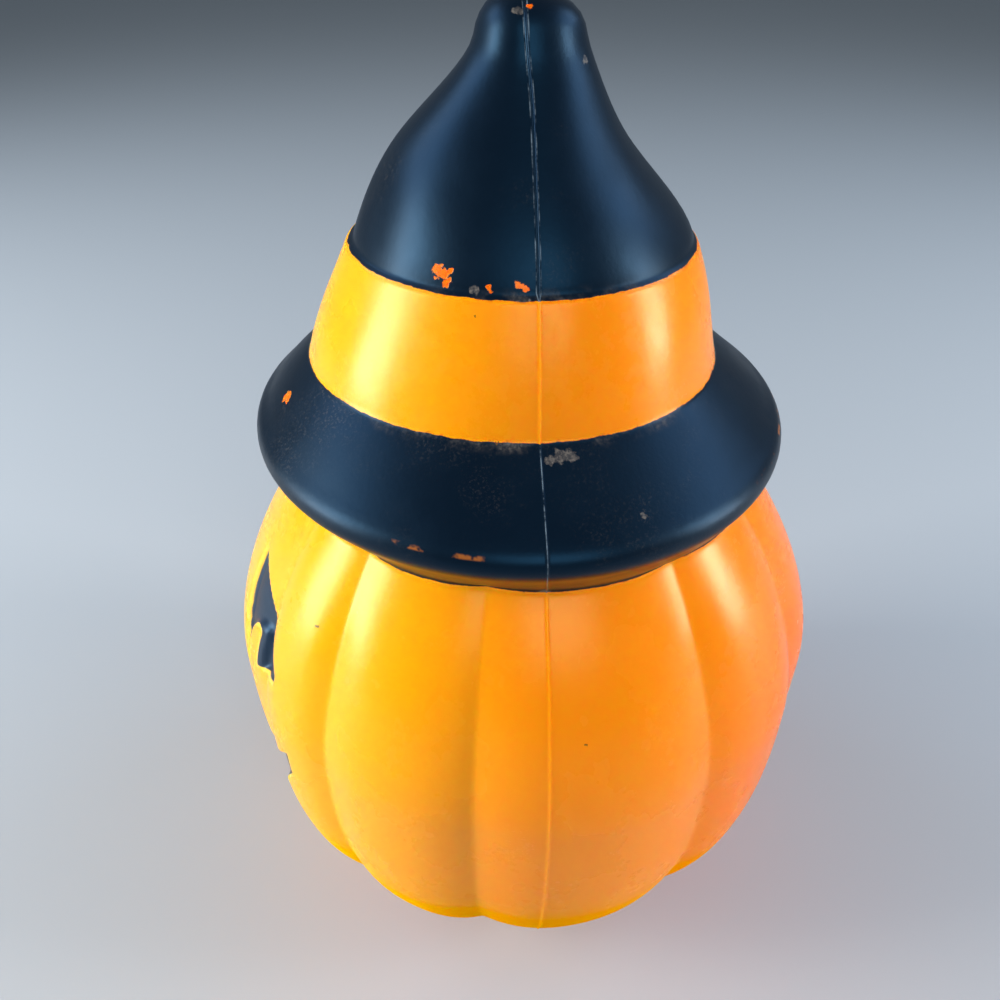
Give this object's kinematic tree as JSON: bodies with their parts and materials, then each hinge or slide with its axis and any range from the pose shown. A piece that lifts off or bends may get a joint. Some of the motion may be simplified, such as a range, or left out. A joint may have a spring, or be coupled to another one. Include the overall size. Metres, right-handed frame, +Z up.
{
  "type": "blow mold pumpkin",
  "caption": "Hollow blow-moulded jack-o'-lantern in a black witch hat with an orange band, lit by a small screw-in bulb that snaps into its back.",
  "frame": {"origin": "centre of the flat base, on the surface it stands on", "axes": "+Z up, -Y out of the face, +Y out of the back where the light snaps in, +X to the wearer's left, the side whose parting line the picture shows"},
  "size_m": [0.1754, 0.1747, 0.2735],
  "materials": {
    "orange_plastic": "glossy, with black paint on the hat's brim and crown",
    "socket_plastic": "satin",
    "spring_steel": "bright",
    "socket_brass": "bright",
    "fibre_disc": "matte pressed fibre",
    "cap_nickel": "nickel-plated",
    "tip_solder": "satin",
    "cap_glass": "glossy black",
    "clear_glass": "clear",
    "lead_metal": "drawn wire"
  },
  "bodies": {
    "pumpkin": {"moulded_body": "orange_plastic"},
    "socket": {"socket_housing": "socket_plastic", "spring_clip_left": "spring_steel", "spring_clip_right": "spring_steel", "insulating_disc": "fibre_disc", "socket_shell": "socket_brass", "centre_contact": "socket_brass", "centre_rivet": "socket_brass", "shell_rivet": "socket_brass"},
    "glass": {"bulb_glass": "clear_glass"},
    "bulb_base": {"bulb_cap": "cap_nickel", "cap_insulator": "cap_glass", "tip_contact": "tip_solder", "glass_stem": "clear_glass", "lead_wire_left": "lead_metal", "lead_wire_right": "lead_metal", "filament": "lead_metal"}
  },
  "joints": [
    {"name": "light_kit_pull", "type": "slide", "parent": "pumpkin", "child": "socket", "axis": [0, 1, 0], "range_m": [0, 0.09], "deforming": ["spring_clip_left", "spring_clip_right"]},
    {"name": "bulb_travel", "type": "slide", "parent": "socket", "child": "glass", "axis": [0, -1, 0], "range_m": [0, 0.0108]},
    {"name": "bulb_turn", "type": "hinge", "parent": "glass", "child": "bulb_base", "pos_m": [0, 0.05, 0.075], "axis": [0, -1, 0], "range_deg": [0, 1530]}
  ],
  "couplings": [
    {"joint": "bulb_travel", "follows": "bulb_turn", "m_per_rad": 0.00040425}
  ]
}
